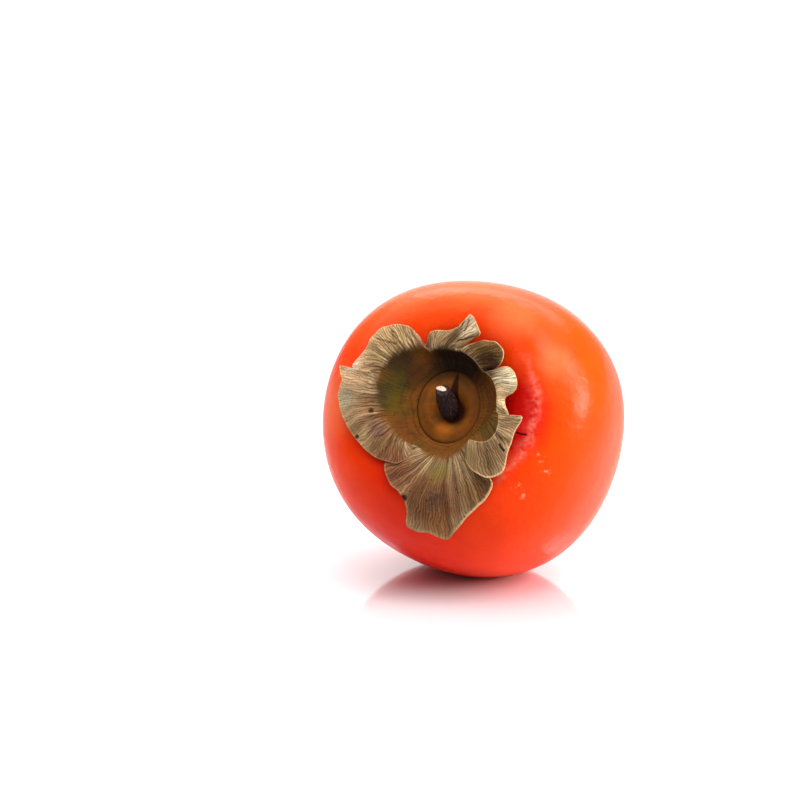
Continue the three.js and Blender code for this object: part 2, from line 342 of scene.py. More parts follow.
# %% [markdown]
# ## The fruit
#
# A ball made of six square patches has no poles, so its faces stay even and the skin shows no
# pinch. It starts as a cube that is cut into a fine grid, and the formula then pushes every vertex
# out to the skin. The ripe fruit sags onto a small flat where it rests: what would go below the
# floor is pressed up to it.

# %% Make the fruit
FRUIT_CUTS = 110

bpy.ops.object.select_all(action="DESELECT")
bpy.ops.mesh.primitive_cube_add(size=2)
fruit = bpy.context.object
fruit.name = "ripe_fruit"
edit_all(lambda: bpy.ops.mesh.subdivide(number_cuts=FRUIT_CUTS))

places = np.tan(read_places(fruit) * math.pi / 4)
places /= np.linalg.norm(places, axis=1, keepdims=True)
polar = np.arccos(np.clip(places[:, 2], -1, 1))
places *= skin_distance(polar, np.arctan2(places[:, 1], places[:, 0])).reshape(-1, 1)
write_places(fruit, places)
lay_down(fruit)
places = read_places(fruit)
places[:, 2] = np.maximum(places[:, 2], 0)
write_places(fruit, places)
edit_all(outward_normals)
bpy.ops.object.shade_smooth()
hand_over(fruit, "fruit")

# %% [markdown]
# ## The calyx
#
# The four sepals and the bowl between them grew as one papery collar, so they are one sheet. Each
# station is a rib of it: where the rib leaves the bowl, where it folds outward, and where it ends at
# the sepal's edge. The edge of one sepal passes over the next one at two of the gaps, so the ribs
# there turn back under each other.
#
# Columns: turn, reach and height of the fold between bowl and sepal; turn, reach and lift above the
# skin of the edge; and how far the sepal arches up between them.

# %% The stations of the calyx
DISC_MIDDLE = (0.6, -0.4)
OPENING_HALF = (8.7, 9.9)
BOWL_FLOOR = 22.9
WALL_OUT = 0.62
WALL_UP = 0.22

left_sepal = [
    (104, 14.3, 27.0, 106.5, 16.7, 2.4, 0.2),
    (109, 15.6, 27.9, 109.5, 19.6, 2.4, 0.4),
    (114, 16.4, 28.3, 113, 22.6, 2.2, 0.5),
    (120, 17.2, 28.4, 119.5, 24.6, 2.0, 0.7),
    (127, 18.1, 28.4, 127, 26.6, 1.7, 0.9),
    (134, 18.8, 28.2, 134, 26.7, 1.6, 1.0),
    (141, 19.2, 28.0, 146, 26.3, 1.6, 1.0),
    (146, 19.3, 27.9, 155, 27.0, 1.9, 0.8),
    (151, 19.3, 27.7, 158, 24.3, 1.7, 0.6),
    (156, 19.2, 27.5, 157, 30.8, 2.0, 0.8),
    (163, 18.9, 27.2, 164, 28.7, 1.7, 1.0),
    (171, 18.2, 27.0, 172, 29.1, 1.5, 1.2),
    (181, 17.2, 26.8, 184, 27.2, 1.4, 1.2),
    (193, 16.0, 26.6, 199, 24.9, 1.5, 1.1),
    (206, 15.0, 26.5, 217, 22.5, 2.1, 1.0),
    (217, 14.4, 26.4, 233, 19.7, 2.8, 0.8),
    (226, 13.9, 26.3, 238, 15.9, 2.8, 0.4),
    (232, 13.5, 26.1, 236, 13.8, 2.4, 0.1),
]
lower_sepal = [
    (239, 13.3, 25.8, 234, 14.8, 1.3, 0.0),
    (245, 13.5, 25.7, 230, 17.8, 1.3, 0.0),
    (251, 13.9, 25.7, 226, 21.8, 1.3, 0.1),
    (256, 14.2, 25.7, 236, 24.6, 1.4, 0.5),
    (261, 14.4, 25.8, 248, 26.7, 1.4, 0.8),
    (265, 14.6, 25.9, 252, 30.0, 1.3, 0.9),
    (268, 14.7, 26.0, 253, 33.4, 1.4, 0.9),
    (272, 14.7, 26.0, 262, 33.9, 1.3, 1.0),
    (276, 14.6, 26.0, 270, 35.1, 1.4, 1.0),
    (280, 14.5, 25.9, 277, 32.9, 1.4, 1.0),
    (284, 14.2, 25.8, 286, 30.5, 1.3, 0.9),
    (288, 13.9, 25.7, 295, 29.0, 1.4, 0.6),
    (292, 13.5, 25.6, 302, 26.1, 1.3, 0.2),
    (297, 13.0, 25.5, 300, 18.6, 1.3, 0.0),
]
right_sepal = [
    (302, 12.7, 26.0, 296, 15.1, 2.8, 0.3),
    (307, 13.0, 27.0, 294, 18.9, 4.0, 0.8),
    (312, 13.4, 27.5, 297, 22.5, 4.1, 1.0),
    (318, 13.8, 27.9, 303, 25.8, 3.8, 1.0),
    (324, 14.2, 28.2, 311, 26.5, 3.6, 1.0),
    (330, 14.6, 28.5, 321, 24.1, 3.6, 0.9),
    (336, 14.9, 28.7, 334, 23.0, 4.0, 0.8),
    (340, 15.1, 28.8, 344, 23.4, 4.8, 0.6),
    (344, 15.2, 28.7, 342, 20.8, 4.3, 0.4),
    (347, 15.3, 28.7, 338, 18.9, 3.6, 0.2),
    (351, 15.4, 28.7, 342, 19.9, 3.6, 0.3),
    (357, 15.4, 28.8, 356, 17.5, 4.2, 0.3),
    (364, 15.4, 28.9, 361, 20.1, 3.9, 0.6),
    (371, 15.2, 29.0, 368, 21.3, 3.8, 0.8),
    (378, 14.9, 29.0, 375, 21.0, 4.0, 0.8),
    (385, 14.2, 28.7, 383, 19.3, 4.0, 0.4),
]
upper_sepal = [
    (392, 13.3, 27.8, 388, 14.6, 3.8, 0.1),
    (398, 13.4, 28.4, 386, 18.3, 4.4, 0.5),
    (405, 13.6, 28.8, 392, 20.7, 4.6, 0.8),
    (412, 13.7, 29.0, 400, 21.0, 4.7, 0.9),
    (419, 13.8, 29.1, 409, 19.5, 4.7, 0.9),
    (425, 13.9, 29.0, 419, 17.2, 4.6, 0.6),
    (431, 13.7, 28.2, 430, 14.7, 3.6, 0.1),
    (436, 13.8, 28.5, 422, 17.5, 3.8, 0.3),
    (440, 13.9, 28.7, 417, 20.0, 3.8, 0.5),
    (444, 14.0, 28.7, 425, 22.7, 3.6, 0.6),
    (447, 14.0, 28.7, 430, 23.6, 3.4, 0.5),
    (450, 14.0, 28.6, 433, 21.0, 3.2, 0.5),
    (454, 14.1, 28.4, 441, 19.2, 3.2, 0.6),
    (458, 14.1, 28.1, 453, 19.1, 3.1, 0.5),
    (461.5, 14.0, 27.5, 460, 19.0, 3.1, 0.4),
]
stations = np.array(left_sepal + lower_sepal + right_sepal + upper_sepal)
print("the calyx is drawn by", len(stations), "stations")

# %% [markdown]
# Each station becomes a path of five points: the opening that the disc fills, the wall of the bowl,
# the fold, the middle of the sepal and its edge.


# %% Paths of the stations
def around_stem(turn, reach, height):
    """Places round the stem axis, from their turn, reach and height."""
    return np.stack([reach * np.cos(turn), reach * np.sin(turn), height], axis=-1)


root_turn, edge_turn = np.radians(stations[:, 0]), np.radians(stations[:, 3])
fold_reach, fold_height = stations[:, 1], stations[:, 2]
edge_reach, edge_lift, arch = stations[:, 4], stations[:, 5], stations[:, 6]

opening = np.stack(
    [
        DISC_MIDDLE[0] + OPENING_HALF[0] * np.cos(root_turn),
        DISC_MIDDLE[1] + OPENING_HALF[1] * np.sin(root_turn),
        np.full_like(root_turn, BOWL_FLOOR),
    ],
    axis=-1,
)
fold = around_stem(root_turn, fold_reach, fold_height)
wall = opening + (fold - opening) * np.array([WALL_OUT, WALL_OUT, WALL_UP])
edge_flat = around_stem(edge_turn, edge_reach, edge_reach)
edge_height = skin_height(edge_flat[:, 0], edge_flat[:, 1], edge_lift)
edge = around_stem(edge_turn, edge_reach, edge_height)
sepal_middle = (fold + edge) / 2 + np.stack([0 * arch, 0 * arch, arch], axis=-1)
paths = np.stack([opening, wall, fold, sepal_middle, edge], axis=1)
print("edge of the calyx reaches", edge_reach.max(), "mm from the stem axis")

# %% [markdown]
# ## The sheet of the calyx
#
# A flat grid is bent onto the paths: across the grid runs the turn round the stem, and up the grid
# runs the way from the opening to the edge. Its columns are spread evenly along the wavy edge, so
# tips and gaps get as many as they need. The grid keeps its own UV map, which now follows the
# ribs, and the finish uses that later.
#
# The dry sheet is ribbed like a fan. The ribs are too regular for noise and too irregular for a
# wave, so lines of seeded random heights, smoothed and closed round the calyx, raise them. The same
# heights are kept on the vertices as an attribute, so that the finish can paint shade into the
# grooves and a highlight onto the crests.

# %% Bend a grid into the calyx
CALYX_COLUMNS = 800
CALYX_ROWS = 56
STRETCHES = 4
EDGE_SHARE = 0.75
SHEET_THICKNESS = 0.5
SKIN_CLEARANCE = 0.35
PUSH_SOFTNESS = 0.3
FINE_STEPS = 6000
SEED = 7

chance = np.random.default_rng(SEED)


def uneven_line(place, count, reach=1.0):
    """Smooth random heights round a closed line; place runs from 0 to 1 round it."""
    heights = chance.uniform(-reach, reach, count)
    return round_line(heights, place * count)


bpy.ops.object.select_all(action="DESELECT")
bpy.ops.mesh.primitive_grid_add(x_subdivisions=CALYX_COLUMNS, y_subdivisions=CALYX_ROWS, size=2)
calyx = bpy.context.object
calyx.name = "dried_calyx"
grid = read_places(calyx)
around = np.round((grid[:, 0] + 1) / 2, 6)
outward = np.round((grid[:, 1] + 1) / 2, 6)

fine = np.linspace(0, len(stations), FINE_STEPS + 1)


def length_round(ring):
    """The length run so far, in fine steps, along one of the five rings of the paths."""
    line = round_line(paths[:, ring], fine)
    steps = np.linalg.norm(np.diff(line, axis=0), axis=1)
    return np.concatenate([[0], np.cumsum(steps)])


edge_length, fold_length = length_round(4), length_round(2)
spread = EDGE_SHARE * edge_length / edge_length[-1] + (1 - EDGE_SHARE) * fold_length / fold_length[-1]
column_place = np.interp(around, spread, fine) % len(stations)
column_path = round_line(paths, column_place)

stretch = np.minimum((outward * STRETCHES).astype(int), STRETCHES - 1)
share = (outward * STRETCHES - stretch).reshape(-1, 1)
before = 2 * column_path[:, :1] - column_path[:, 1:2]
after = 2 * column_path[:, -1:] - column_path[:, -2:-1]
full_path = np.concatenate([before, column_path, after], axis=1)
vertex = np.arange(len(grid))
sheet = between(*[full_path[vertex, stretch + step] for step in range(4)], share)
print("edge of the calyx is", round(edge_length[-1]), "mm long")

# %% [markdown]
# The sheet gets its dry relief here: fan-like ribs that grow from the fold to the edge, where other
# ribs take over little by little, slow waves of the whole margin, and a small jitter of the outline.
# Then it is lifted wherever it would come too near the skin.

# %% Ribs, waves and clearance
RIB_COUNT = 170
RIB_HEIGHT = 0.24
WAVE_COUNT = 40
WAVE_HEIGHT = 0.34
JITTER_COUNT = 150
JITTER_REACH = 0.16
BOWL_RIB_SHARE = 0.12
SWING = 0.003
SWINGS_OUT = 11
SWINGS_ROUND = 9
OTHER_RIBS_SHARE = 0.6
FINE_RIBS_SHARE = 0.45
EDGE_FADE = 0.55

on_sepal = np.clip((outward - 0.5) * 2, 0, 1)
swing = SWING * np.sin(outward * SWINGS_OUT + SWINGS_ROUND * around * math.tau)
swung = (around + swing) % 1
other = OTHER_RIBS_SHARE * np.clip(outward * 3 - 1.2, 0, 1)
ribs = uneven_line(swung, RIB_COUNT) * (1 - other) + uneven_line(swung, RIB_COUNT) * other
ribs += FINE_RIBS_SHARE * uneven_line(swung, 2 * RIB_COUNT)
waves = uneven_line(around, WAVE_COUNT)
jitter = uneven_line(around, JITTER_COUNT) * on_sepal**3 * JITTER_REACH

reach = np.hypot(sheet[:, 0], sheet[:, 1])
sheet[:, :2] *= (1 + jitter / reach).reshape(-1, 1)
rib_strength = BOWL_RIB_SHARE + (1 - BOWL_RIB_SHARE) * np.clip((outward - 0.4) * 7, 0, 1)
rib_strength *= 1 - EDGE_FADE * np.clip(outward * 5 - 4, 0, 1)
sheet[:, 2] += ribs * RIB_HEIGHT * rib_strength * np.clip(outward * 4, 0, 1)
sheet[:, 2] += waves * WAVE_HEIGHT * on_sepal**1.5

lowest = skin_height(sheet[:, 0], sheet[:, 1]) + (SKIN_CLEARANCE + SHEET_THICKNESS)
spare = sheet[:, 2] - lowest
sheet[:, 2] = lowest + (spare + np.hypot(spare, PUSH_SOFTNESS)) / 2
write_places(calyx, sheet)
calyx.data.attributes.new("rib", "FLOAT", "POINT").data.foreach_set("value", ribs)
least_gap = (sheet[:, 2] - lowest).min() + SKIN_CLEARANCE
print("least gap above the skin", round(float(least_gap), 2), "mm")

# %% [markdown]
# The two ends of the grid meet and are merged, and Solidify gives the sheet its two faces and closed
# edges. A vertex group makes it thinner towards the margin, as a dry sepal is, and thinner still at
# the opening, where it meets the disc.

# %% Close and thicken the calyx
THIN_EDGE = 0.55
THIN_OPENING = 0.3
OPENING_SHARE = 0.1
MERGE_DISTANCE = 0.0005
SHARPEST_SMOOTH = math.radians(50)

margin = calyx.vertex_groups.new(name="thickness")
for step in range(CALYX_ROWS + 1):
    rows = np.nonzero(np.abs(outward - step / CALYX_ROWS) < 0.5 / CALYX_ROWS)[0]
    row_share = step / CALYX_ROWS
    thickness_here = 1 - (1 - THIN_EDGE) * max(0, row_share - 0.5) * 2
    thickness_here -= (1 - THIN_OPENING) * max(0, 1 - row_share / OPENING_SHARE)
    margin.add([int(row) for row in rows], thickness_here, "REPLACE")

edit_all(lambda: bpy.ops.mesh.remove_doubles(threshold=MERGE_DISTANCE), outward_normals)
if sum(face.normal.z * face.area for face in calyx.data.polygons) < 0:
    edit_all(bpy.ops.mesh.flip_normals)
solidify = calyx.modifiers.new("two faces", "SOLIDIFY")
solidify.thickness = SHEET_THICKNESS
solidify.offset = -1
solidify.vertex_group = "thickness"
bpy.ops.object.modifier_apply(modifier=solidify.name)
lay_down(calyx)
bpy.ops.object.shade_smooth_by_angle(angle=SHARPEST_SMOOTH)
hand_over(calyx, "calyx")

# %% [markdown]
# ## The woody disc
#
# The disc is the end of the stalk where the calyx was attached: a low dome with rings like a turned
# button, a pit for the stalk beside its middle, and a crack that opens from the pit. Its rim is
# tucked under the edge of the bowl, so that no gap shows. It starts as a ball, whose upper half
# takes the height of the dome and whose lower half follows the skin below it.

# %% Make the disc
TUCK = 0.3
DISC_RIM = 22.3
DISC_SHOULDER = 22.85
DISC_CROWN = 23.7
PIT_MIDDLE = (1.4, -1.6)
PIT_REACH = 4.3
PIT_DEPTH = 2.0
PIT_STEEPNESS = 4
RING_COUNT = 3.5
RING_HEIGHT = 0.07
CRACK_START = (1.8, 1.6)
CRACK_END = (3.0, 8.2)
CRACK_WIDTH = 0.75
CRACK_DEPTH = 1.1
CRACK_FADE = 0.7
RIM_STEEPNESS = 16
RIM_ROUNDING = 6

bpy.ops.object.select_all(action="DESELECT")
bpy.ops.mesh.primitive_uv_sphere_add(segments=200, ring_count=150, radius=1)
disc = bpy.context.object
disc.name = "woody_disc"
ball = read_places(disc)
share = np.clip(np.hypot(ball[:, 0], ball[:, 1]), 0, 1)
x = DISC_MIDDLE[0] + (OPENING_HALF[0] + TUCK) * ball[:, 0]
y = DISC_MIDDLE[1] + (OPENING_HALF[1] + TUCK) * ball[:, 1]

dome = DISC_CROWN + (DISC_SHOULDER - DISC_CROWN) * share**2
dome += (DISC_RIM - DISC_SHOULDER) * share**RIM_STEEPNESS
rings = RING_HEIGHT * np.sin(share * RING_COUNT * math.tau) * np.clip(share * 2 - 0.6, 0, 1)
off_pit = np.hypot(x - PIT_MIDDLE[0], y - PIT_MIDDLE[1])
pit = PIT_DEPTH * np.exp(-((off_pit / PIT_REACH) ** PIT_STEEPNESS))
crack_side, crack_away = CRACK_END[0] - CRACK_START[0], CRACK_END[1] - CRACK_START[1]
along = (x - CRACK_START[0]) * crack_side + (y - CRACK_START[1]) * crack_away
along = np.clip(along / (crack_side**2 + crack_away**2), 0, 1)
off_crack = np.hypot(x - CRACK_START[0] - along * crack_side, y - CRACK_START[1] - along * crack_away)
crack = CRACK_DEPTH * (1 - CRACK_FADE * along) * np.exp(-((off_crack / CRACK_WIDTH) ** 2))
top = dome + rings - pit - crack
under = skin_height(x, y, SKIN_CLEARANCE)
rim_blend = np.clip(np.abs(ball[:, 2]) * RIM_ROUNDING, 0, 1)
middle_height = (DISC_RIM + under) / 2
height = np.where(ball[:, 2] > 0, top, under) * rim_blend + middle_height * (1 - rim_blend)
write_places(disc, np.stack([x, y, height], axis=-1))
edit_all(outward_normals)
lay_down(disc)
bpy.ops.object.shade_smooth()
hand_over(disc, "receptacle")

# %% [markdown]
# ## The broken stalk
#
# The stalk snapped off short and dried almost black, with ridges along it and a slanting break at
# its end. A cylinder is cut into rings, both its ends are inset for a detailed break, and the
# formula then leans it, narrows it and raises the ridges.

# %% Make the stalk
STALK_FOOT = np.array([1.1, -1.7, 22.3])
STALK_TIP = np.array([0.6, 2.8, 27.8])
STALK_FOOT_RADIUS = 2.4
STALK_TIP_RADIUS = 1.6
STALK_BULGE = 0.24
STALK_SIDES = 96
STALK_CUTS = 40
STALK_RIDGES = 11
FINE_RIDGES = 29
RIDGE_DEPTH = 0.16
TWIST = 0.5
BREAK_SLANT = 1.7
BREAK_TOWARD = (0.6, 0.7)
BREAK_STEEPNESS = 4
SPLINTERS = 17
SPLINTER_LENGTH = 0.3
END_RINGS = 9
END_RING_WIDTH = 0.1
HALF_HEIGHT = 0.5
FACES_AN_END = 0.9

bpy.ops.object.select_all(action="DESELECT")
bpy.ops.mesh.primitive_cylinder_add(vertices=STALK_SIDES, radius=1, depth=1, location=(0, 0, 0))
stalk = bpy.context.object
stalk.name = "broken_stalk"

bpy.ops.object.mode_set(mode="EDIT")
bpy.ops.mesh.select_mode(type="EDGE")
bpy.ops.mesh.select_all(action="DESELECT")
bpy.ops.object.mode_set(mode="OBJECT")
heights = read_places(stalk)[:, 2]
for line in stalk.data.edges:
    rise = abs(heights[line.vertices[0]] - heights[line.vertices[1]])
    line.select = bool(rise > HALF_HEIGHT)
bpy.ops.object.mode_set(mode="EDIT")
bpy.ops.mesh.subdivide(number_cuts=STALK_CUTS)
bpy.ops.object.mode_set(mode="OBJECT")
for end in (-1, 1):
    select_faces(stalk, lambda middle, normal, end=end: normal.z * end > FACES_AN_END)
    for _ in range(END_RINGS):
        bpy.ops.mesh.inset(thickness=END_RING_WIDTH)
    bpy.ops.object.mode_set(mode="OBJECT")

post = read_places(stalk)
along = post[:, 2] + HALF_HEIGHT
spin = np.arctan2(post[:, 1], post[:, 0])
radius = STALK_FOOT_RADIUS + (STALK_TIP_RADIUS - STALK_FOOT_RADIUS) * along**2
radius *= 1 + STALK_BULGE * np.sin(math.pi * along)
twisted = ((spin + TWIST * along) / math.tau) % 1
ridges = uneven_line(twisted, STALK_RIDGES) + 0.5 * uneven_line(twisted, FINE_RIDGES)
from_axis = np.hypot(post[:, 0], post[:, 1])
radius = radius + RIDGE_DEPTH * ridges * from_axis
leaned = STALK_FOOT + along.reshape(-1, 1) * (STALK_TIP - STALK_FOOT)
leaned[:, 0] += post[:, 0] * radius
leaned[:, 1] += post[:, 1] * radius
splinters = SPLINTER_LENGTH * uneven_line((spin / math.tau) % 1, SPLINTERS) * from_axis
slant = BREAK_SLANT * (BREAK_TOWARD[1] * post[:, 1] + BREAK_TOWARD[0] * post[:, 0])
leaned[:, 2] -= (slant - splinters) * along**BREAK_STEEPNESS
write_places(stalk, leaned)
edit_all(outward_normals)
lay_down(stalk)
bpy.ops.object.shade_smooth_by_angle(angle=SHARPEST_SMOOTH)
hand_over(stalk, "stalk_stub")

# %% [markdown]
# ## The flower point
#
# At the far end sits the dry tip that the flower left behind. It is a small wrinkled cone: a ball
# that a formula draws out to a point and a seeded random line pinches.

# %% Make the flower point
POINT_RADIUS = 1.1
POINT_LENGTH = 2.4
POINT_GAP = 0.3
POINT_TAPER = 0.6
POINT_ROUNDING = 12
POINT_FOLDS = 9
FOLD_DEPTH = 0.16

bpy.ops.object.select_all(action="DESELECT")
bpy.ops.mesh.primitive_uv_sphere_add(segments=48, ring_count=32, radius=1)
point = bpy.context.object
point.name = "flower_point"
ball = read_places(point)
spin = np.arctan2(ball[:, 1], ball[:, 0])
along = (1 - ball[:, 2]) / 2
narrowing = (1 - along) ** POINT_TAPER * np.clip(along * POINT_ROUNDING, 0, 1)
pinch = 1 + FOLD_DEPTH * uneven_line((spin / math.tau) % 1, POINT_FOLDS)
width = POINT_RADIUS * narrowing * pinch
point_top = -(FLOWER_SIDE["height"] + POINT_GAP)
write_places(point, around_stem(spin, width, point_top - POINT_LENGTH * along))
edit_all(outward_normals)
lay_down(point)
bpy.ops.object.shade_smooth()
hand_over(point, "style_tip")

# %% [markdown]
# ## Writing a finish as sums
#
# A finish is a graph of nodes, but most of it is plain arithmetic. The class below wraps a socket,
# so that sums on it can be written as Python expressions, and one method adds every other node.


# %% Sums on sockets
class Wire:
    """A socket in a finish, on which Python's sums add Math nodes."""

    def __init__(self, finish, socket):
        self.finish = finish
        self.socket = socket

    def sum(self, operation, first, second=None):
        values = {0: first} if second is None else {0: first, 1: second}
        return self.finish.node("ShaderNodeMath", {"operation": operation}, values)

    def __add__(self, other):
        return self.sum("ADD", self, other)

    def __radd__(self, other):
        return self.sum("ADD", other, self)

    def __sub__(self, other):
        return self.sum("SUBTRACT", self, other)

    def __rsub__(self, other):
        return self.sum("SUBTRACT", other, self)

    def __mul__(self, other):
        return self.sum("MULTIPLY", self, other)

    def __rmul__(self, other):
        return self.sum("MULTIPLY", other, self)

    def __truediv__(self, other):
        return self.sum("DIVIDE", self, other)

    def __pow__(self, other):
        return self.sum("POWER", self, other)

    def largest(self, other):
        return self.sum("MAXIMUM", self, other)

    def smallest(self, other):
        return self.sum("MINIMUM", self, other)

    def held(self):
        """The same, but never below 0 or above 1."""
        return self.largest(0.0).smallest(1.0)

    def sine(self):
        return self.sum("SINE", self)

    def turn_from(self, along):
        """The turn round the origin of a place with this much across and that much along."""
        return self.sum("ARCTAN2", self, along)

    def rise(self, low, high):
        """0 below low, 1 above high, and a soft step between; it falls where high is under low."""
        values = {"Value": self, "From Min": low, "From Max": high}
        return self.finish.node("ShaderNodeMapRange", {"interpolation_type": "SMOOTHSTEP"}, values)

    def band(self, middle, half_width):
        """1 at the middle and 0 past the half width on either side."""
        return self.sum("ABSOLUTE", self - middle).rise(half_width, 0)


class Finish:
    """A material with the nodes that a finish needs."""

    def __init__(self, name):
        self.material = bpy.data.materials.new(name)
        self.material.use_nodes = True
        self.tree = self.material.node_tree
        self.shader = self.tree.nodes["Principled BSDF"]

    def node(self, kind, settings, values, output=0):
        """Adds a node: its type, its settings, then values or links for its sockets."""
        new = self.tree.nodes.new(kind)
        for setting, value in settings.items():
            setattr(new, setting, value)
        for socket, value in values.items():
            if isinstance(value, Wire):
                self.tree.links.new(value.socket, new.inputs[socket])
            else:
                new.inputs[socket].default_value = value
        return Wire(self, new.outputs[output])

    def set(self, socket, value):
        if isinstance(value, Wire):
            self.tree.links.new(value.socket, self.shader.inputs[socket])
        else:
            self.shader.inputs[socket].default_value = value

    def upright(self):
        """Places on the piece round the stem axis, in millimetres."""
        coordinates = self.node("ShaderNodeTexCoord", {}, {}, "Object")
        settings = {"vector_type": "TEXTURE"}
        values = {
            "Vector": coordinates,
            "Location": (0, 0, MIDDLE_HEIGHT * MM),
            "Rotation": turned.to_euler(),
            "Scale": (MM, MM, MM),
        }
        return self.node("ShaderNodeMapping", settings, values)

    def part(self, vector, name):
        """One coordinate of a place."""
        return self.node("ShaderNodeSeparateXYZ", {}, {"Vector": vector}, name)

    def join(self, x, y, z):
        return self.node("ShaderNodeCombineXYZ", {}, {"X": x, "Y": y, "Z": z})

    def near(self, vector, place, inner, outer):
        """1 within the inner distance of a place and 0 past the outer one."""
        settings = {"operation": "DISTANCE"}
        distance = self.node("ShaderNodeVectorMath", settings, {0: vector, 1: place}, "Value")
        return distance.rise(outer, inner)

    def patches(self, vector, colour, table):
        """Lays soft patches on a colour, each with its middle, two reaches, tint and strength."""
        for middle, inner, outer, tint, strength in table:
            share = self.near(vector, middle, inner, outer) * strength
            colour = self.mix(share, colour, srgb(*tint))
        return colour

    def stretched(self, vector, scale):
        """Places multiplied by a scale along each axis."""
        return self.node("ShaderNodeMapping", {}, {"Vector": vector, "Scale": scale})

    def noise(self, vector, scale, detail=2.0, roughness=0.5):
        values = {"Vector": vector, "Scale": scale, "Detail": detail, "Roughness": roughness}
        return self.node("ShaderNodeTexNoise", {}, values, "Fac")

    def mark(self, vector, middle, heading, half_long, half_wide, waver):
        """A thin mark: 1 on a short line through its middle, at a heading in degrees, and 0 off it."""
        x = self.part(vector, "X") - middle[0]
        y = self.part(vector, "Y") - middle[1]
        cosine, sine = math.cos(math.radians(heading)), math.sin(math.radians(heading))
        along = x * cosine + y * sine
        across = y * cosine - x * sine + waver
        line = across.band(0.0, half_wide) * along.band(0.0, half_long).rise(0.0, 0.4)
        return (line * 1.4).smallest(1.0)

    def mix(self, share, first, second, blend="MIX"):
        """From the first colour to the second by a share."""
        settings = {"data_type": "RGBA", "blend_type": blend}
        return self.node("ShaderNodeMix", settings, {0: share, 6: first, 7: second}, 2)

    def relief(self, height, distance, strength):
        """Makes the surface look raised where the height is large."""
        values = {"Height": height, "Distance": distance, "Strength": strength}
        self.set("Normal", self.node("ShaderNodeBump", {}, values))


def srgb(red, green, blue):
    """A colour as read from a picture, from 0 to 255, turned into the light values of a shader."""
    shares = (part / 255 for part in (red, green, blue))
    return tuple(s / 12.92 if s <= 0.04045 else ((s + 0.055) / 1.055) ** 2.4 for s in shares) + (1.0,)


def dress(piece, finish):
    """Gives a piece its finish."""
    piece.data.materials.clear()
    piece.data.materials.append(finish.material)
    print(piece.name, "wears", finish.material.name)


# %% [markdown]
# ## Skin of the fruit
#
# Ripe skin is a smooth orange red. It is deeper red round the calyx, partly its own colour and
# partly painted shade from the calyx, and deeper red low on the near side, which is painted shade.
# It is more orange on the right shoulder and on top, partly its own tone and partly painted light.
# It is waxy: light goes a little way in and comes out red, and a thin bloom of wax dulls it in a
# ring round the calyx, combed outward in fine streaks. A few pale scars and a short dark crack sit
# below the shoulder.
#
# Everything is placed in the upright frame of the stem, in millimetres. The pale patches are painted
# highlights. Columns of the pale patches: middle, reach of the full patch, reach where it ends, tint
# and strength.

# %% Finish of the skin
SUNNY_LIT_SIDE = (30.0, 12.0, 26.0)
SHADED_LOW_SIDE = (-14.0, -36.0, 12.0)
RED_SHADE_BESIDE_CALYX = (19.0, -5.0, 26.0)
BLOOM_SIDE = (25.0, -8.0, 25.0)
BLOOM_REACH = 25.3
FAINT_BLOOM_REACH = 24.4
STREAKS_ROUND = 22.0
SKIN_CRACK = (21.3, -9.9)
SKIN_CRACK_HEADING = -16
SCARS = ((19.5, -23.3, 24.8), (20.9, -24.9, 23.2), (26.6, -18.9, 22.6), (25.6, -15.9, 24.5))
# Painted highlights on the skin.
PAINTED_HIGHLIGHT_PATCHES = (
    ((-30.0, 3.0, 25.0), 2.0, 14.0, (250, 140, 88), 0.4),
    ((18.3, 21.0, 26.0), 2.0, 9.0, (250, 140, 88), 0.25),
    ((29.3, 9.0, 24.8), 1.0, 7.0, (250, 140, 88), 0.25),
)

skin = Finish("ripe_skin")
place = skin.upright()
across_x, across_y, up = skin.part(place, "X"), skin.part(place, "Y"), skin.part(place, "Z")
reach = (across_x * across_x + across_y * across_y) ** 0.5

deep_red = srgb(204, 12, 6)
ripe_orange = srgb(246, 62, 6)
sunny_lit_orange = srgb(250, 72, 2)
lit_top_orange = srgb(252, 88, 22)
wax = srgb(244, 134, 112)
scar_tissue = srgb(255, 150, 110)
crack_red = srgb(70, 6, 4)

cloud = skin.noise(place, 0.05, 2.0)
mottle = skin.noise(place, 0.16, 4.0, 0.6)
# More orange on the right shoulder and on top: partly the skin's own tone, partly painted light from
# the right and above.
sunny_and_lit = skin.near(place, SUNNY_LIT_SIDE, 4.0, 40.0)
colour = skin.mix((sunny_and_lit * 0.8 + (cloud - 0.5) * 0.8).held(), ripe_orange, sunny_lit_orange)
colour = skin.mix(across_y.rise(12.0, 30.0) * across_x.rise(24.0, 4.0) * 0.8, colour, lit_top_orange)

stem_side = up.rise(0.0, 8.0)
# Deeper red round the calyx is partly the skin's own red and partly painted shade; the deeper red low
# on the near side is painted shade.
calyx_red_and_shade = reach.rise(31.0, 21.0) * stem_side
low_side_shade = skin.near(place, SHADED_LOW_SIDE, 4.0, 34.0)
red_shade_beside_calyx = skin.near(place, RED_SHADE_BESIDE_CALYX, 5.0, 14.0)
redness_and_shade = calyx_red_and_shade * (across_y.rise(10.0, -6.0) * 0.3 + 0.25)
redness_and_shade = redness_and_shade + low_side_shade * 0.75 + red_shade_beside_calyx * 0.7
redness_and_shade = redness_and_shade + (mottle - 0.5) * (0.5 - red_shade_beside_calyx * 0.4)
colour = skin.mix(redness_and_shade.held(), colour, deep_red)

